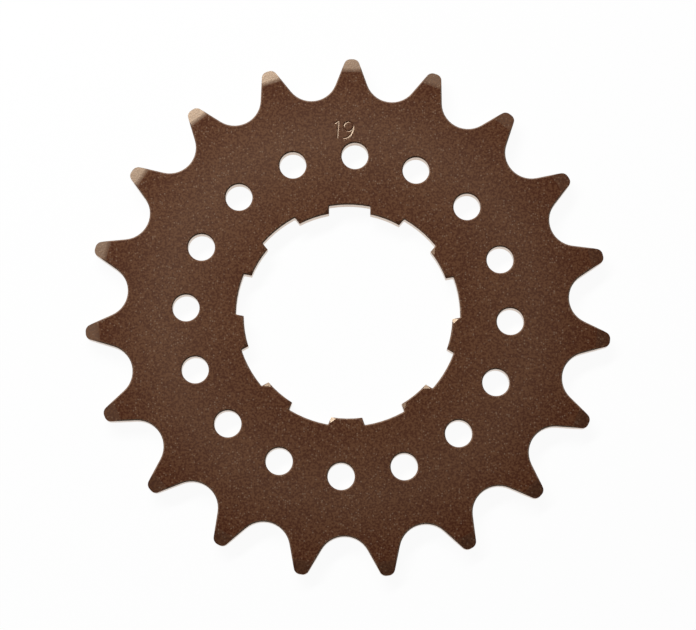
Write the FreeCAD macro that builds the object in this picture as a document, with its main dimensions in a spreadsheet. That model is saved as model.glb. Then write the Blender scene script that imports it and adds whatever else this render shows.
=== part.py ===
"""Single speed cog: one flat steel sprocket for a half-inch chain and a splined freehub body.

Frame: +Z is the axis of the bore, the back face lies on Z = 0, and one tooth and one
spline slot point along +Y. Lengths are in millimetres and angles in degrees.
"""
import FreeCAD
import Part
import Sketcher
import math
import os

# Driving sizes: name, value and what it is
SIZES = [
    ("tooth_count", 19, "teeth round the rim"),
    ("chain_pitch", 12.7, "distance between the chain's rollers"),
    ("seat_radius", 4.1, "radius of the seat that holds a roller"),
    ("gap_angle", 60, "angle between the two flanks of a tooth gap"),
    ("tip_height", 2.33, "height of the tooth tips above the pitch circle"),
    ("tip_corner", 1.05, "rounding of the tooth's two tip corners"),
    ("corner_share", 0.9, "largest share of half the tip that one such corner may take"),
    ("plate_thickness", 2.0, "thickness of the plate"),
    ("bevel_length", 2.0, "radial length of the bevel on the tooth tips"),
    ("bevel_depth", 0.47, "depth of that bevel at the tip, on each face"),
    ("bevel_round", 4.3, "radius that blends that bevel into the front face"),
    ("spline_count", 9, "spline slots round the bore"),
    ("tab_diameter", 32.5, "bore between the tips of the spline tabs"),
    ("slot_depth", 1.2, "depth of a spline slot beyond the tabs"),
    ("slot_width", 6.45, "width of a spline slot"),
    ("slot_corner", 0.2, "rounding in the corners of a spline slot"),
    ("hole_count", 16, "lightening holes"),
    ("hole_diameter", 4.2, "diameter of a lightening hole"),
    ("hole_circle", 50.5, "circle of the centres of the lightening holes"),
    ("hole_turn", -1.6, "turn of the holes from the line of tooth and slot"),
    ("roll_width", 0.2, "width of the edges that the punch rolled over on the front face"),
    ("roll_depth", 0.18, "depth of those rolled edges"),
    ("cut_margin", 3.0, "how far a cut reaches past the edge that it opens"),
]

# Sizes that follow from the others
DERIVED = [
    ("pitch_diameter", "=chain_pitch / sin(180 deg / tooth_count)"),
    ("outside_diameter", "=pitch_diameter + 2 * tip_height"),
    ("slot_diameter", "=tab_diameter + 2 * slot_depth"),
    ("flank_offset", "=pitch_diameter / 2 * sin(gap_angle / 2 * 1 deg) - seat_radius"),
    ("flank_turn", "=gap_angle / 2 - asin(2 * flank_offset / outside_diameter) / 1 deg"),
    ("tip_half_width", "=outside_diameter / 2 * sin(180 deg / tooth_count - flank_turn * 1 deg)"),
    ("flank_lean", "=gap_angle / 2 - 180 / tooth_count"),
    ("corner_limit", "=corner_share * tip_half_width * tan((90 + flank_lean) / 2 * 1 deg)"),
    ("corner_radius", "=min(tip_corner; corner_limit)"),
    ("bevel_angle", "=atan(bevel_depth / bevel_length) / 1 deg"),
    ("bevel_start", "=outside_diameter / 2 - bevel_length - bevel_round * tan(bevel_angle / 2 * 1 deg)"),
    ("bevel_drop", "=bevel_depth * (1 + cut_margin / bevel_length)"),
]

# Points of a sketch element and the sketch's own axes, as the sketcher numbers them
START, END, CENTRE = range(1, 4)
HORIZONTAL_AXIS, VERTICAL_AXIS = range(-1, -3, -1)
ORIGIN = (HORIZONTAL_AXIS, START)

UP = FreeCAD.Vector(0, 0, 1)
TOLERANCE = 0.01


def fill_sheet(document):
    """Write the driving and derived sizes into a sheet with a name for each cell."""
    sheet = document.addObject("Spreadsheet::Sheet", "sizes")
    row = 1
    for name, value, meaning in SIZES:
        sheet.set(f"A{row}", meaning)
        sheet.set(f"B{row}", str(value))
        sheet.setAlias(f"B{row}", name)
        row += 1
    for name, formula in DERIVED:
        sheet.set(f"A{row}", name.replace("_", " "))
        sheet.set(f"B{row}", formula)
        sheet.setAlias(f"B{row}", name)
        row += 1
    document.recompute()
    return sheet


def origin_feature(body, role):
    """Return one of the body's own origin planes or axes."""
    for feature in body.Origin.OriginFeatures:
        if feature.Role == role:
            return feature
    raise ValueError(f"no origin feature {role}")


def new_sketch(body, name, plane="XY_Plane"):
    """Add an empty sketch on one of the body's origin planes."""
    sketch = body.newObject("Sketcher::SketchObject", name)
    sketch.AttachmentSupport = (origin_feature(body, plane), [""])
    sketch.MapMode = "FlatFace"
    return sketch


def join(sketch, *pairs):
    """Make pairs of element ends coincide."""
    for first, second in pairs:
        sketch.addConstraint(Sketcher.Constraint("Coincident", *first, *second))


def bind(sketch, name, formula, kind, *place):
    """Add a dimension to a sketch, name it and bind it to a formula of the sheet's cells."""
    index = sketch.addConstraint(Sketcher.Constraint(kind, *place))
    sketch.renameConstraint(index, name)
    sketch.setExpression(f"Constraints.{name}", formula)


def cut_through(body, name, sketch):
    """Cut a sketch right through the plate, towards both faces."""
    pocket = body.newObject("PartDesign::Pocket", name)
    pocket.Profile = sketch
    pocket.Type = "ThroughAll"
    pocket.Midplane = True
    return pocket


def repeat_round_axis(body, name, feature, count_name):
    """Repeat a cut evenly round the bore's axis."""
    pattern = body.newObject("PartDesign::PolarPattern", name)
    pattern.Originals = [feature]
    pattern.Axis = (origin_feature(body, "Z_Axis"), [""])
    pattern.Angle = 360
    pattern.setExpression("Occurrences", f"sizes.{count_name}")
    body.Tip = pattern
    return pattern


def upright_edges(feature, radius):
    """Name the straight edges along Z that lie at a given distance from the axis."""
    names = []
    for index, edge in enumerate(feature.Shape.Edges, start=1):
        if not isinstance(edge.Curve, Part.Line):
            continue
        along = edge.tangentAt(edge.FirstParameter)
        middle = edge.CenterOfMass
        off_circle = math.hypot(middle.x, middle.y) - radius
        if along.cross(UP).Length < TOLERANCE and abs(off_circle) < TOLERANCE:
            names.append(f"Edge{index}")
    return names


def front_face(feature):
    """Name the flat front face of the plate."""
    for index, face in enumerate(feature.Shape.Faces, start=1):
        if isinstance(face.Surface, Part.Plane) and face.normalAt(0, 0).isEqual(UP, TOLERANCE):
            return f"Face{index}"
    raise ValueError("no front face")


def round_edges(body, name, base, radius, radius_formula):
    """Round the upright edges that lie on one circle about the axis."""
    fillet = body.newObject("PartDesign::Fillet", name)
    fillet.Base = (base, upright_edges(base, radius))
    fillet.setExpression("Radius", radius_formula)
    return fillet


def build_blank(body, sheet):
    """Pad the round blank that the teeth are cut from."""
    sketch = new_sketch(body, "blank_sketch")
    sketch.addGeometry(Part.Circle(FreeCAD.Vector(), UP, sheet.outside_diameter / 2))
    join(sketch, ((0, CENTRE), ORIGIN))
    bind(sketch, "outside", "sizes.outside_diameter", "Diameter", 0, sheet.outside_diameter)
    blank = body.newObject("PartDesign::Pad", "blank")
    blank.Profile = sketch
    blank.setExpression("Length", "sizes.plate_thickness")


def build_teeth(document, body, sheet):
    """Cut one gap, a roller seat with two straight flanks, and repeat it round the rim."""
    lean = math.radians(sheet.gap_angle / 2)
    middle = FreeCAD.Vector(0, -sheet.pitch_diameter / 2, 0)
    seat_arc = Part.ArcOfCircle(Part.Circle(middle, UP, sheet.seat_radius), lean, math.pi - lean)
    right_seat = seat_arc.StartPoint
    left_seat = seat_arc.EndPoint
    mouth = -(sheet.outside_diameter / 2 + sheet.cut_margin)
    half_mouth = right_seat.x + (right_seat.y - mouth) * math.tan(lean)
    right_mouth = FreeCAD.Vector(half_mouth, mouth, 0)
    left_mouth = FreeCAD.Vector(-half_mouth, mouth, 0)

    sketch = new_sketch(body, "gap_sketch")
    arc = sketch.addGeometry(seat_arc)
    right = sketch.addGeometry(Part.LineSegment(right_seat, right_mouth))
    outer = sketch.addGeometry(Part.LineSegment(right_mouth, left_mouth))
    left = sketch.addGeometry(Part.LineSegment(left_mouth, left_seat))
    join(sketch, ((right, END), (outer, START)), ((outer, END), (left, START)))
    sketch.addConstraint(Sketcher.Constraint("Tangent", arc, START, right, START))
    sketch.addConstraint(Sketcher.Constraint("Tangent", arc, END, left, END))
    sketch.addConstraint(Sketcher.Constraint("PointOnObject", arc, CENTRE, VERTICAL_AXIS))
    sketch.addConstraint(Sketcher.Constraint("Symmetric", arc, START, arc, END, VERTICAL_AXIS))
    sketch.addConstraint(Sketcher.Constraint("Horizontal", outer))
    bind(sketch, "seat", "sizes.seat_radius", "Radius", arc, sheet.seat_radius)
    bind(sketch, "pitch", "sizes.pitch_diameter / 2", "DistanceY", arc, CENTRE, *ORIGIN, -middle.y)
    bind(sketch, "flank", "(sizes.gap_angle / 2 - 90) * 1 deg", "Angle", right, lean - math.pi / 2)
    bind(sketch, "mouth", "sizes.outside_diameter / 2 + sizes.cut_margin",
         "DistanceY", outer, START, *ORIGIN, -mouth)

    gap = cut_through(body, "tooth_gap", sketch)
    gaps = repeat_round_axis(body, "tooth_gaps", gap, "tooth_count")
    document.recompute()
    round_edges(body, "tooth_corners", gaps, sheet.outside_diameter / 2, "sizes.corner_radius")


def build_bore(document, body, sheet):
    """Cut the bore between the spline tabs, then the slots that the hub's splines fill."""
    sketch = new_sketch(body, "bore_sketch")
    sketch.addGeometry(Part.Circle(FreeCAD.Vector(), UP, sheet.tab_diameter / 2))
    join(sketch, ((0, CENTRE), ORIGIN))
    bind(sketch, "tabs", "sizes.tab_diameter", "Diameter", 0, sheet.tab_diameter)
    cut_through(body, "bore", sketch)

    half = sheet.slot_width / 2
    bottom = sheet.slot_diameter / 2
    corner_height = (bottom**2 - half**2) ** 0.5
    mouth = sheet.tab_diameter / 2 - sheet.cut_margin
    right_corner = FreeCAD.Vector(half, corner_height, 0)
    left_corner = FreeCAD.Vector(-half, corner_height, 0)
    right_mouth = FreeCAD.Vector(half, mouth, 0)
    left_mouth = FreeCAD.Vector(-half, mouth, 0)
    slot_sketch = new_sketch(body, "slot_sketch")
    crown = FreeCAD.Vector(0, bottom, 0)
    arc = slot_sketch.addGeometry(Part.Arc(right_corner, crown, left_corner))
    left = slot_sketch.addGeometry(Part.LineSegment(left_corner, left_mouth))
    inner = slot_sketch.addGeometry(Part.LineSegment(left_mouth, right_mouth))
    right = slot_sketch.addGeometry(Part.LineSegment(right_mouth, right_corner))
    join(slot_sketch, ((arc, END), (left, START)), ((left, END), (inner, START)),
         ((inner, END), (right, START)), ((right, END), (arc, START)), ((arc, CENTRE), ORIGIN))
    slot_sketch.addConstraint(Sketcher.Constraint("Vertical", left))
    slot_sketch.addConstraint(Sketcher.Constraint("Vertical", right))
    slot_sketch.addConstraint(Sketcher.Constraint("Symmetric", inner, START, inner, END, VERTICAL_AXIS))
    bind(slot_sketch, "bottom", "sizes.slot_diameter / 2", "Radius", arc, bottom)
    bind(slot_sketch, "width", "sizes.slot_width", "DistanceX", inner, START, inner, END, sheet.slot_width)
    bind(slot_sketch, "mouth", "sizes.tab_diameter / 2 - sizes.cut_margin",
         "DistanceY", *ORIGIN, inner, START, mouth)
    slot = cut_through(body, "spline_slot", slot_sketch)
    slots = repeat_round_axis(body, "spline_slots", slot, "spline_count")
    document.recompute()
    round_edges(body, "slot_corners", slots, bottom, "sizes.slot_corner")


def build_holes(body, sheet):
    """Punch the ring of lightening holes between the bore and the teeth."""
    turn = FreeCAD.Rotation(UP, sheet.hole_turn)
    middle = turn.multVec(FreeCAD.Vector(0, sheet.hole_circle / 2, 0))
    sketch = new_sketch(body, "hole_sketch")
    hole = sketch.addGeometry(Part.Circle(middle, UP, sheet.hole_diameter / 2))
    bind(sketch, "hole", "sizes.hole_diameter", "Diameter", hole, sheet.hole_diameter)
    bind(sketch, "across", "sizes.hole_circle / 2 * sin(-sizes.hole_turn * 1 deg)",
         "DistanceX", *ORIGIN, hole, CENTRE, middle.x)
    bind(sketch, "along", "sizes.hole_circle / 2 * cos(sizes.hole_turn * 1 deg)",
         "DistanceY", *ORIGIN, hole, CENTRE, middle.y)
    hole_cut = cut_through(body, "lightening_hole", sketch)
    return repeat_round_axis(body, "lightening_holes", hole_cut, "hole_count")


def roll_front_edges(document, body, plate):
    """Break every edge of the front face, where the punch drew the sheet in."""
    document.recompute()
    rolled = body.newObject("PartDesign::Chamfer", "rolled_edges")
    rolled.Base = (plate, [front_face(plate)])
    rolled.ChamferType = "Two distances"
    rolled.setExpression("Size", "sizes.roll_width")
    rolled.setExpression("Size2", "sizes.roll_depth")
    rolled.FlipDirection = True


def turn_off(body, name, sketch):
    """Turn a sketched section off the plate, all the way round the bore's axis."""
    groove = body.newObject("PartDesign::Groove", name)
    groove.Profile = sketch
    groove.ReferenceAxis = (sketch, ["V_Axis"])
    groove.Angle = 360


def build_front_bevels(body, sheet):
    """Turn a shallow cone off the front of the tooth tips, blended into the face by an arc."""
    turn = math.radians(sheet.bevel_angle)
    outer = sheet.outside_diameter / 2 + sheet.cut_margin
    middle = FreeCAD.Vector(sheet.bevel_start, sheet.plate_thickness - sheet.bevel_round, 0)
    circle = Part.Circle(middle, UP, sheet.bevel_round)
    blend = Part.ArcOfCircle(circle, math.pi / 2 - turn, math.pi / 2)
    top = blend.EndPoint
    above = top + FreeCAD.Vector(0, sheet.cut_margin, 0)
    beyond = FreeCAD.Vector(outer, above.y, 0)
    low = FreeCAD.Vector(outer, top.y - sheet.bevel_drop, 0)

    sketch = new_sketch(body, "front_bevel_sketch", "XZ_Plane")
    arc = sketch.addGeometry(blend)
    rise = sketch.addGeometry(Part.LineSegment(top, above))
    over = sketch.addGeometry(Part.LineSegment(above, beyond))
    down = sketch.addGeometry(Part.LineSegment(beyond, low))
    slope = sketch.addGeometry(Part.LineSegment(low, blend.StartPoint))
    join(sketch, ((arc, END), (rise, START)), ((rise, END), (over, START)),
         ((over, END), (down, START)), ((down, END), (slope, START)))
    sketch.addConstraint(Sketcher.Constraint("Tangent", slope, END, arc, START))
    sketch.addConstraint(Sketcher.Constraint("Vertical", arc, CENTRE, arc, END))
    sketch.addConstraint(Sketcher.Constraint("Vertical", rise))
    sketch.addConstraint(Sketcher.Constraint("Horizontal", over))
    sketch.addConstraint(Sketcher.Constraint("Vertical", down))
    bind(sketch, "round", "sizes.bevel_round", "Radius", arc, sheet.bevel_round)
    bind(sketch, "start", "sizes.bevel_start", "DistanceX", *ORIGIN, arc, END, top.x)
    bind(sketch, "face", "sizes.plate_thickness", "DistanceY", *ORIGIN, arc, END, top.y)
    bind(sketch, "margin", "sizes.cut_margin", "DistanceY", rise, START, rise, END, sheet.cut_margin)
    bind(sketch, "reach", "sizes.outside_diameter / 2 + sizes.cut_margin",
         "DistanceX", *ORIGIN, over, END, outer)
    bind(sketch, "drop", "sizes.bevel_drop", "DistanceY", down, END, rise, START, sheet.bevel_drop)
    turn_off(body, "front_bevels", sketch)


def build_back_bevels(body, sheet):
    """Turn the same cone off the back of the tooth tips, with the crisp edge of the punch's far side."""
    inner = sheet.outside_diameter / 2 - sheet.bevel_length
    outer = sheet.outside_diameter / 2 + sheet.cut_margin
    start = FreeCAD.Vector(inner, 0, 0)
    edge = FreeCAD.Vector(outer, 0, 0)
    high = FreeCAD.Vector(outer, sheet.bevel_drop, 0)

    sketch = new_sketch(body, "back_bevel_sketch", "XZ_Plane")
    flat = sketch.addGeometry(Part.LineSegment(start, edge))
    side = sketch.addGeometry(Part.LineSegment(edge, high))
    slope = sketch.addGeometry(Part.LineSegment(high, start))
    join(sketch, ((flat, END), (side, START)), ((side, END), (slope, START)), ((slope, END), (flat, START)))
    sketch.addConstraint(Sketcher.Constraint("PointOnObject", flat, START, HORIZONTAL_AXIS))
    sketch.addConstraint(Sketcher.Constraint("Horizontal", flat))
    sketch.addConstraint(Sketcher.Constraint("Vertical", side))
    bind(sketch, "start", "sizes.outside_diameter / 2 - sizes.bevel_length",
         "DistanceX", *ORIGIN, flat, START, inner)
    bind(sketch, "reach", "sizes.outside_diameter / 2 + sizes.cut_margin",
         "DistanceX", *ORIGIN, flat, END, outer)
    bind(sketch, "drop", "sizes.bevel_drop", "DistanceY", side, START, side, END, sheet.bevel_drop)
    turn_off(body, "back_bevels", sketch)


def check_document(document):
    """Stop if any object of the document failed or a shape is missing or invalid."""
    for item in document.Objects:
        if "Invalid" in item.State or "Error" in item.State:
            raise RuntimeError(f"{item.Name} failed: {item.State}")
        if item.isDerivedFrom("Sketcher::SketchObject") and not item.FullyConstrained:
            raise RuntimeError(f"{item.Name} is not fully constrained")
        if item.isDerivedFrom("PartDesign::Feature") and (item.Shape.isNull() or not item.Shape.isValid()):
            raise RuntimeError(f"{item.Name} has no valid shape")


def report_cuts(body):
    """Print the volume after each step, and stop if a step changed nothing."""
    volume = 0
    for item in body.Group:
        if item.isDerivedFrom("PartDesign::Feature"):
            print(f"{item.Name}: {item.Shape.Volume:.1f} mm3, {len(item.Shape.Solids)} solid")
            if abs(item.Shape.Volume - volume) < TOLERANCE:
                raise RuntimeError(f"{item.Name} changed nothing")
            volume = item.Shape.Volume


def main():
    """Build the cog and write it to its own file."""
    document = FreeCAD.newDocument("single_speed_cog")
    sheet = fill_sheet(document)
    body = document.addObject("PartDesign::Body", "cog")
    body.Label = "cog"
    build_blank(body, sheet)
    build_teeth(document, body, sheet)
    build_bore(document, body, sheet)
    plate = build_holes(body, sheet)
    roll_front_edges(document, body, plate)
    build_front_bevels(body, sheet)
    build_back_bevels(body, sheet)
    document.recompute()
    check_document(document)
    report_cuts(body)
    if len(body.Shape.Solids) != 1:
        raise RuntimeError("the cog is not one solid")
    os.makedirs("parts", exist_ok=True)
    body.Shape.exportStep(f"parts/{body.Label}.step")


main()
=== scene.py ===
import logging
import math
from dataclasses import dataclass, field
from enum import Enum

import bpy
from mathutils import Matrix, Vector


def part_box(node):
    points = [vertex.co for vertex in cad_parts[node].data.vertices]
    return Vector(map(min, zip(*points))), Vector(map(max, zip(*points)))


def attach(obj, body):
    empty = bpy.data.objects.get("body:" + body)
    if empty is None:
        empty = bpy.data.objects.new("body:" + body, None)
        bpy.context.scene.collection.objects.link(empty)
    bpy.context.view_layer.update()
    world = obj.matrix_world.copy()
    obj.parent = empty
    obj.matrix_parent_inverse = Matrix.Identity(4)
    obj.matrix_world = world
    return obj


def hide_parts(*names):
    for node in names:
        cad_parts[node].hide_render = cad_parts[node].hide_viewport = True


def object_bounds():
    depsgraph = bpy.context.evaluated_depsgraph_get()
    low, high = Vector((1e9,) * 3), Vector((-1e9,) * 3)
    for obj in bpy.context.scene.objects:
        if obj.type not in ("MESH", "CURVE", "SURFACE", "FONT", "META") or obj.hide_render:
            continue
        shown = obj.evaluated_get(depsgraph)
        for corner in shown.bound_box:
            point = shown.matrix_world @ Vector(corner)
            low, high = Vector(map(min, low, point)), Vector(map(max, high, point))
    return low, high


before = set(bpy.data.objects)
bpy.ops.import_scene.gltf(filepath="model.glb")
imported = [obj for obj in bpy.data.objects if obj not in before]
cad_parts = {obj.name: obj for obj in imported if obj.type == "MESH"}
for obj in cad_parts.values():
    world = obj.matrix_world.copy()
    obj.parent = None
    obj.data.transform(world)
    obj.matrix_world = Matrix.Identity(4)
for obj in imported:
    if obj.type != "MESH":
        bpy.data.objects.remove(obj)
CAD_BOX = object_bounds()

LOG = logging.getLogger("single_speed_cog")
IMAGE_WIDTH = 696
MM = 0.001

Colour = tuple[float, float, float]
Point = tuple[float, float]


def opaque(colour: Colour) -> tuple[float, float, float, float]:
    """Return a linear colour with full cover, as colour sockets take it."""
    return (*colour, 1.0)


def pick_only(item: bpy.types.Object) -> None:
    """Deselect everything, then select one object and make it the active one.

    Args:
        item: the object that stays selected.
    """
    bpy.ops.object.select_all(action="DESELECT")
    item.select_set(True)
    bpy.context.view_layer.objects.active = item


def close_up(item: bpy.types.Object, reach: float) -> None:
    """Merge an object's doubled points and turn its faces outwards.

    Args:
        item: a mesh object.
        reach: the distance within which points are merged.
    """
    pick_only(item)
    bpy.ops.object.mode_set(mode="EDIT")
    bpy.ops.mesh.select_all(action="SELECT")
    bpy.ops.mesh.remove_doubles(threshold=reach)
    bpy.ops.mesh.normals_make_consistent(inside=False)
    bpy.ops.object.mode_set(mode="OBJECT")


def carve(plate: bpy.types.Object, tool: bpy.types.Object) -> None:
    """Cut a tool's form out of a plate and use the tool up.

    Args:
        plate: the object that is cut.
        tool: a closed mesh in its place.
    """
    pick_only(plate)
    cut = plate.modifiers.new("cut", "BOOLEAN")
    cut.operation = "DIFFERENCE"
    cut.solver = "EXACT"
    cut.use_self = True
    cut.object = tool
    bpy.ops.object.modifier_apply(modifier=cut.name)
    bpy.data.objects.remove(tool)


class NodeBoard:
    """A shader's node tree, with short calls that add nodes and join them."""

    def __init__(self, tree: bpy.types.NodeTree) -> None:
        """Keep the tree, emptied."""
        self.tree = tree
        self.tree.nodes.clear()

    def feed(self, socket: bpy.types.NodeSocket, value: object) -> None:
        """Join another node's socket to an input, or write a plain value there.

        Args:
            socket: the input that is fed.
            value: another node's output, or a plain value.
        """
        if isinstance(value, bpy.types.NodeSocket):
            self.tree.links.new(value, socket)
        else:
            socket.default_value = value

    def add(self, kind: str, inputs: dict | None = None, **options: object) -> bpy.types.Node:
        """Add one node.

        Args:
            kind: the node's type name without its ShaderNode prefix.
            inputs: values or other nodes' sockets for the inputs in use, by name or number.
            options: the node's own options.

        Returns:
            The new node.
        """
        node = self.tree.nodes.new(f"ShaderNode{kind}")
        for name, value in options.items():
            setattr(node, name, value)
        for name, value in (inputs or {}).items():
            self.feed(node.inputs[name], value)
        return node

    def work_out(self, operation: str, first: object, second: object) -> bpy.types.NodeSocket:
        """Add a math node on two values or sockets and return its result."""
        return self.add("Math", {0: first, 1: second}, operation=operation).outputs[0]

    def spread(self, value: object, taken: Point, given: Point) -> bpy.types.NodeSocket:
        """Map one range of a value to another, held at its ends.

        Args:
            value: the socket that is mapped.
            taken: the range that is read.
            given: the range that it becomes.

        Returns:
            The mapped value.
        """
        limits = {"From Min": taken[0], "From Max": taken[1], "To Min": given[0], "To Max": given[1]}
        return self.add("MapRange", {"Value": value, **limits}).outputs["Result"]

    def blend(self, share: object, first: object, second: object) -> bpy.types.NodeSocket:
        """Mix two colours.

        Args:
            share: the second colour's share.
            first: the colour at share 0.
            second: the colour at share 1.

        Returns:
            The mixed colour.
        """
        node = self.add("Mix", data_type="RGBA")
        sockets = [socket for socket in node.inputs if socket.enabled]
        for socket, value in zip(sockets, (share, first, second)):
            self.feed(socket, value)
        return next(socket for socket in node.outputs if socket.enabled)


@dataclass(frozen=True)
class BrownCoat:
    """Matt brown coat on blasted steel, with fine grain, faint clouds and sparse painted glints: bright
    specks in its colour that stand in for highlights.

    It is brightest in the middle ring of the face and gets duller towards the bore and the teeth.
    """

    name: str = "coated_steel"
    dark: Colour = (0.056, 0.0105, 0.0023)
    light: Colour = (0.117, 0.0450, 0.0192)
    # painted glint: colour of the bright specks that stand in for highlights
    painted_glint: Colour = (0.22, 0.138, 0.09)
    reflection: Colour = (1.0, 0.80, 0.58)
    metallic: float = 0.0
    index: float = 1.52
    roughness: float = 0.55
    roughness_spread: float = 0.02
    grain_size: float = 0.32 * MM
    grain_height: float = 0.0025 * MM
    grain_share: float = 0.88
    cloud_size: float = 7.0 * MM
    noise_detail: float = 1.0
    noise_middle: Point = (0.40, 0.60)
    glint_spacing: float = 0.33 * MM
    glint_reach: float = 0.5
    glint_share: float = 0.16
    bore_ring: Point = (17.5 * MM, 28.0 * MM)
    tooth_ring: Point = (29.5 * MM, 38.0 * MM)
    bore_sheen: float = 0.36
    middle_sheen: float = 0.62
    tooth_sheen: float = 0.28
    tooth_fade: float = 0.11

    def material(self) -> bpy.types.Material:
        """Make the coat, with its pattern on the piece's own coordinates.

        Returns:
            The coat's material.
        """
        material = bpy.data.materials.new(self.name)
        material.use_nodes = True
        board = NodeBoard(material.node_tree)
        place = board.add("TexCoord").outputs["Object"]
        grain = self.noise(board, place, self.grain_size)
        clouds = self.noise(board, place, self.cloud_size)
        fine = board.work_out("MULTIPLY", grain, self.grain_share)
        broad = board.work_out("MULTIPLY", clouds, 1 - self.grain_share)
        reach = board.add("VectorMath", {0: place}, operation="LENGTH").outputs["Value"]
        fade = board.spread(reach, self.tooth_ring, (0, self.tooth_fade))
        shade = board.work_out("SUBTRACT", board.work_out("ADD", fine, broad), fade)
        brown = board.blend(shade, opaque(self.dark), opaque(self.light))
        # painted highlights: bright glint specks mixed into the coat's colour
        colour = board.blend(self.painted_glints(board, place), brown, opaque(self.painted_glint))
        rough_ends = (self.roughness + self.roughness_spread, self.roughness - self.roughness_spread)
        bump = board.add("Bump", {"Strength": 1.0, "Distance": self.grain_height, "Height": grain})
        coat = board.add("BsdfPrincipled", {
            "Base Color": colour,
            "Metallic": self.metallic,
            "Roughness": board.spread(grain, (0, 1), rough_ends),
            "IOR": self.index,
            "Specular IOR Level": self.sheen(board, reach),
            "Specular Tint": opaque(self.reflection),
            "Normal": bump.outputs["Normal"],
        })
        board.add("OutputMaterial", {"Surface": coat.outputs["BSDF"]})
        return material

    def noise(self, board: NodeBoard, place: bpy.types.NodeSocket, size: float) -> bpy.types.NodeSocket:
        """Add a noise of a given grain size.

        Args:
            board: the node tree.
            place: the coordinates that the noise lies on.
            size: the size of one grain.

        Returns:
            The noise, spread from 0 to 1.
        """
        noise = board.add("TexNoise", {"Vector": place, "Scale": 1 / size, "Detail": self.noise_detail})
        return board.spread(noise.outputs["Fac"], self.noise_middle, (0, 1))

    def sheen(self, board: NodeBoard, reach: bpy.types.NodeSocket) -> bpy.types.NodeSocket | float:
        """Let the strength of reflection fall off from the middle ring to the bore and the teeth.

        Args:
            board: the node tree.
            reach: the distance from the piece's middle.

        Returns:
            The strength of reflection.
        """
        rising = board.spread(reach, self.bore_ring, (self.bore_sheen, self.middle_sheen))
        falling = board.spread(reach, self.tooth_ring, (self.middle_sheen, self.tooth_sheen))
        return board.work_out("MINIMUM", rising, falling)

    def painted_glints(self, board: NodeBoard, place: bpy.types.NodeSocket) -> bpy.types.NodeSocket:
        """Add small round painted glints, bright specks that stand in for highlights, in a few cells of
        an uneven net.

        Args:
            board: the node tree.
            place: the coordinates that the net lies on.

        Returns:
            The painted glints' mask.
        """
        cells = board.add("TexVoronoi", {"Vector": place, "Scale": 1 / self.glint_spacing})
        near = board.spread(cells.outputs["Distance"], (0, self.glint_reach), (1, 0))
        chance = board.add("SeparateColor", {"Color": cells.outputs["Color"]}).outputs["Red"]
        chosen = board.work_out("LESS_THAN", chance, self.glint_share)
        return board.work_out("MULTIPLY", near, chosen)


@dataclass(frozen=True)
class SmoothBevel(BrownCoat):
    """The same coat where the press left the bevels and rolled edges smoother than the blasted faces."""

    name: str = "smooth_bevel"
    index: float = 2.1
    roughness: float = 0.36
    even_sheen: float = 0.5

    def sheen(self, board: NodeBoard, reach: bpy.types.NodeSocket) -> bpy.types.NodeSocket | float:
        """Return one strength of reflection for the whole piece."""
        return self.even_sheen


@dataclass(frozen=True)
class BurnishedWall(SmoothBevel):
    """The same coat where the punch left the walls bright, so that they mirror the pale floor."""

    name: str = "burnished_wall"
    dark: Colour = (0.43, 0.32, 0.24)
    light: Colour = (0.53, 0.41, 0.32)
    # painted glint: colour of the bright specks on the walls
    painted_glint: Colour = (0.57, 0.46, 0.37)
    reflection: Colour = (1.0, 0.97, 0.94)
    metallic: float = 1.0
    roughness: float = 0.2


class PunchStroke(Enum):
    """Open strokes of two plain digits: start, two handles and end, in shares of the digits' height."""

    ONE_FLAG = ((-0.56, 0.36), (-0.50, 0.40), (-0.44, 0.44), (-0.38, 0.49))
    ONE_STEM = ((-0.37, 0.50), (-0.37, 0.17), (-0.37, -0.17), (-0.37, -0.50))
    NINE_TAIL = ((0.50, 0.23), (0.50, -0.20), (0.28, -0.50), (-0.06, -0.46))


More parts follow.
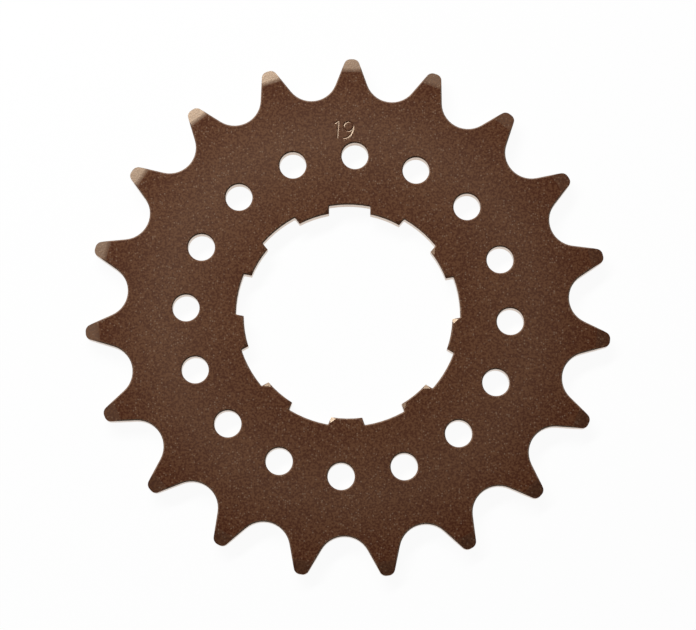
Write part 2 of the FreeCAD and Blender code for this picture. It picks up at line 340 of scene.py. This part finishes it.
@dataclass
class StruckNumber:
    """The plain number of teeth, nineteen, struck into the front face with number punches."""

    middle: Point = (-1.03 * MM, 29.34 * MM)
    turn: float = math.radians(-2.7)
    height: float = 2.75 * MM
    bowl_middle: Point = (0.23, 0.23)
    bowl_share: float = 0.27
    groove_half_width: float = 0.18 * MM
    groove_depth: float = 0.095 * MM
    groove_lift: float = 0.008 * MM
    path_steps: int = 9
    weld: float = 0.0005 * MM

    def strike(self, plate: bpy.types.Object, face_height: float) -> None:
        """Cut the grooves of all strokes into a plate.

        Args:
            plate: the object that is struck.
            face_height: height of the struck face.
        """
        paths = [self.open_path(stroke) for stroke in PunchStroke]
        paths.append(self.bowl_path())
        for path in paths:
            carve(plate, self.groove_tool(path, face_height))

    def open_path(self, stroke: PunchStroke) -> bpy.types.Object:
        """Draw one open stroke about the number's own middle.

        Args:
            stroke: which stroke.

        Returns:
            The stroke's curve.
        """
        bpy.ops.curve.primitive_bezier_curve_add()
        path = bpy.context.object
        first, last = path.data.splines[0].bezier_points
        for knot in (first, last):
            knot.handle_left_type = "FREE"
            knot.handle_right_type = "FREE"
        points = [Vector((*point, 0)) * self.height for point in stroke.value]
        first.co, first.handle_right, last.handle_left, last.co = points
        return path

    def bowl_path(self) -> bpy.types.Object:
        """Draw the round bowl of the nine about the number's own middle.

        Returns:
            The bowl's curve.
        """
        middle = Vector((*self.bowl_middle, 0)) * self.height
        bpy.ops.curve.primitive_bezier_circle_add(radius=self.bowl_share * self.height, location=middle)
        bpy.ops.object.transform_apply(location=True)
        return bpy.context.object

    def groove_tool(self, path: bpy.types.Object, face_height: float) -> bpy.types.Object:
        """Turn a drawn stroke into a wedge that cuts its groove.

        Args:
            path: the stroke's path, which is used up.
            face_height: height of the struck face.

        Returns:
            A closed mesh in its place on the face.
        """
        path.data.bevel_depth = self.groove_half_width
        path.data.bevel_resolution = 0
        path.data.resolution_u = self.path_steps
        path.data.twist_mode = "Z_UP"
        path.data.use_fill_caps = True
        pick_only(path)
        bpy.ops.object.convert(target="MESH")
        tool = bpy.context.object
        tool.scale.z = self.groove_depth / self.groove_half_width
        tool.rotation_euler.z = self.turn
        tool.location = (*self.middle, face_height + self.groove_lift)
        bpy.ops.object.transform_apply(location=True, rotation=True, scale=True)
        close_up(tool, self.weld)
        return tool


@dataclass
class RolledTabCorners:
    """The corners of the spline tabs, which the punch drew down a little on the front face.

    A corner slopes towards its slot and the bore. slot_share weighs the slot against the bore there.
    """

    slot_count: int = 9
    tab_radius: float = 16.25 * MM
    slot_half_width: float = 3.225 * MM
    slot_share: float = 1.25
    reach: float = 0.67 * MM
    slope: float = math.radians(21)
    tool_size: float = 2.0 * MM
    tool_margin: float = 0.3 * MM

    def press(self, plate: bpy.types.Object, face_height: float) -> None:
        """Press down both corners beside every spline slot.

        Args:
            plate: the object that is pressed.
            face_height: height of the front face.
        """
        tools = []
        for index in range(self.slot_count):
            turn = Matrix.Rotation(2 * math.pi * index / self.slot_count, 4, "Z")
            for side in (-1, 1):
                tools.append(self.corner_tool(turn, side, face_height))
        pick_only(tools[0])
        for tool in tools:
            tool.select_set(True)
        bpy.ops.object.join()
        carve(plate, tools[0])

    def corner_tool(self, turn: Matrix, side: int, face_height: float) -> bpy.types.Object:
        """Make a block whose lower face slopes down across one corner.

        Args:
            turn: the turn from the slot along +Y to the corner's own slot.
            side: 1 for the corner on the slot's +X side, -1 for the other.
            face_height: height of the front face.

        Returns:
            The block in its place.
        """
        along = math.sqrt(self.tab_radius**2 - self.slot_half_width**2)
        corner = Vector((side * self.slot_half_width, along, 0))
        out = (Vector((-side * self.slot_share, 0, 0)) - corner.normalized()).normalized()
        up = Vector((0, 0, 1))
        down_slope = out * math.cos(self.slope) - up * math.sin(self.slope)
        above = out * math.sin(self.slope) + up * math.cos(self.slope)
        half = self.tool_size / 2
        middle = corner - out * self.reach + up * face_height
        middle += above * half + down_slope * (half - self.tool_margin)
        axes = Matrix((out.cross(up), down_slope, above)).transposed().to_4x4()
        bpy.ops.mesh.primitive_cube_add(size=self.tool_size)
        tool = bpy.context.object
        tool.matrix_world = turn @ Matrix.Translation(middle) @ axes
        bpy.ops.object.transform_apply(location=True, rotation=True, scale=True)
        return tool


@dataclass
class Cog:
    """The whole cog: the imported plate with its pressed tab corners, struck number and coat."""

    node: str = "cog"
    piece: str = "cog_plate"
    body: str = "root"
    weld: float = 0.0005 * MM
    crease: float = math.radians(15)
    face_lean: float = math.cos(math.radians(6))
    wall_lean: float = 0.3
    number: StruckNumber = field(default_factory=StruckNumber)
    tab_corners: RolledTabCorners = field(default_factory=RolledTabCorners)

    def build(self) -> bpy.types.Object:
        """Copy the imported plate, press its tab corners, strike the number and soften its rolled edges.

        Returns:
            The bare plate.
        """
        plate = bpy.data.objects.new(self.piece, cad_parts[self.node].data.copy())
        bpy.context.scene.collection.objects.link(plate)
        close_up(plate, self.weld)
        bpy.ops.mesh.customdata_custom_splitnormals_clear()
        face_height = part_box(self.node)[1].z
        self.tab_corners.press(plate, face_height)
        self.number.strike(plate, face_height)
        self.soften(plate)
        return plate

    def soften(self, plate: bpy.types.Object) -> None:
        """Shade rolled edges and bevels smoothly into the flat faces, and keep the crisp edges.

        Args:
            plate: the object that is shaded.
        """
        pick_only(plate)
        bpy.ops.object.shade_smooth_by_angle(angle=self.crease)
        weighted = plate.modifiers.new("flat_first", "WEIGHTED_NORMAL")
        weighted.keep_sharp = True
        bpy.ops.object.modifier_apply(modifier=weighted.name)

    def dress(self, plate: bpy.types.Object) -> None:
        """Coat the plate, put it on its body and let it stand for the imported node.

        Args:
            plate: the built plate.
        """
        face_coat = BrownCoat()
        plate.data.materials.clear()
        for coat in (face_coat, SmoothBevel(), BurnishedWall()):
            plate.data.materials.append(coat.material())
        for face in plate.data.polygons:
            upright = abs(face.normal.z)
            limits_passed = [limit for limit in (self.face_lean, self.wall_lean) if upright < limit]
            face.material_index = len(limits_passed)
        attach(plate, self.body)
        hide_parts(self.node)


@dataclass(frozen=True)
class StripLamp:
    """A long soft lamp that points at the cog from above its upper left side."""

    azimuth: float = math.radians(121)
    elevation: float = math.radians(35)
    distance: float = 0.55
    width: float = 0.70
    height: float = 0.08
    power: float = 5.0

    def build(self) -> None:
        """Hang the lamp with its length level."""
        level = math.cos(self.elevation)
        height = math.sin(self.elevation)
        away = Vector((level * math.cos(self.azimuth), level * math.sin(self.azimuth), height))
        bpy.ops.object.light_add(type="AREA", location=away * self.distance)
        lamp = bpy.context.object
        lamp.name = "strip_lamp"
        lamp.rotation_euler = away.to_track_quat("Z", "Y").to_euler()
        lamp.data.shape = "ELLIPSE"
        lamp.data.size = self.width
        lamp.data.size_y = self.height
        lamp.data.energy = self.power


@dataclass
class Studio:
    """A white cove under one soft strip lamp and a dim even sky."""

    floor_radius: float = 2.0
    wall_height: float = 0.3
    wall_flare: float = 1.1
    rim_points: int = 96
    floor_white: Colour = (0.9, 0.9, 0.9)
    paper_share: float = 0.95
    sky: float = 0.08

    def build(self) -> None:
        """Make the cove, the lamp and the sky."""
        self.cove()
        StripLamp().build()
        world = bpy.data.worlds.new("sky")
        world.use_nodes = True
        board = NodeBoard(world.node_tree)
        sky = board.add("Background", {"Strength": self.sky})
        board.add("OutputWorld", {"Surface": sky.outputs[0]})
        bpy.context.scene.world = world
        bpy.context.scene.view_settings.view_transform = "Standard"

    def cove(self) -> None:
        """Make a round floor whose rim rises into a low wall."""
        bpy.ops.mesh.primitive_circle_add(
            vertices=self.rim_points,
            radius=self.floor_radius,
            fill_type="NGON",
        )
        floor = bpy.context.object
        floor.name = "cove"
        bpy.ops.object.mode_set(mode="EDIT")
        bpy.ops.mesh.select_mode(type="EDGE")
        bpy.ops.mesh.select_all(action="DESELECT")
        bpy.ops.mesh.select_non_manifold()
        bpy.ops.mesh.extrude_edges_move(TRANSFORM_OT_translate={"value": (0, 0, self.wall_height)})
        bpy.ops.transform.resize(value=(self.wall_flare, self.wall_flare, 1))
        bpy.ops.object.mode_set(mode="OBJECT")
        floor.data.materials.append(self.paper())

    def paper(self) -> bpy.types.Material:
        """Make the white of the cove, which the camera and reflections see as white paper.

        Returns:
            The cove's material.
        """
        material = bpy.data.materials.new("white_paper")
        material.use_nodes = True
        board = NodeBoard(material.node_tree)
        rays = board.add("LightPath").outputs
        seen = board.work_out("MAXIMUM", rays["Is Camera Ray"], rays["Is Glossy Ray"])
        seen = board.work_out("MAXIMUM", seen, rays["Is Transmission Ray"])
        share = board.work_out("MULTIPLY", seen, self.paper_share)
        lit = board.add("BsdfDiffuse", {"Color": opaque(self.floor_white)}).outputs[0]
        white = board.add("Emission", {"Strength": 1.0}).outputs[0]
        mixed = board.add("MixShader", {0: share, 1: lit, 2: white})
        board.add("OutputMaterial", {"Surface": mixed.outputs[0]})
        return material


@dataclass
class PhotoCamera:
    """The photograph's viewpoint: nearly straight down on the front face."""

    distance: float = 431.3 * MM
    elevation: float = math.radians(81.07)
    turn: float = math.radians(0.83)
    aim: Point = (-0.02 * MM, -0.065 * MM)
    focal_pixels: float = 2774
    sensor: float = 36.0

    def build(self, face_height: float) -> None:
        """Make the camera and look at the front face, close to the bore's axis.

        Args:
            face_height: height of the front face.
        """
        bpy.ops.object.camera_add()
        camera = bpy.context.object
        camera.name = "photo_camera"
        camera.data.sensor_width = self.sensor
        camera.data.lens = self.focal_pixels * self.sensor / IMAGE_WIDTH
        tilt = Matrix.Rotation(math.pi / 2 - self.elevation, 4, "X")
        step_back = Matrix.Translation((0, 0, self.distance))
        turn = Matrix.Rotation(self.turn, 4, "Z")
        camera.matrix_world = Matrix.Translation((*self.aim, face_height)) @ turn @ tilt @ step_back
        bpy.context.scene.camera = camera


def main() -> None:
    """Build and dress the cog, then the studio and the camera round it."""
    logging.basicConfig(level=logging.INFO, format="%(message)s")
    cog = Cog()
    plate = cog.build()
    cog.dress(plate)
    LOG.info("%s: %d faces on body %s", plate.name, len(plate.data.polygons), cog.body)
    Studio().build()
    PhotoCamera().build(CAD_BOX[1].z)


if __name__ == "__main__":
    main()
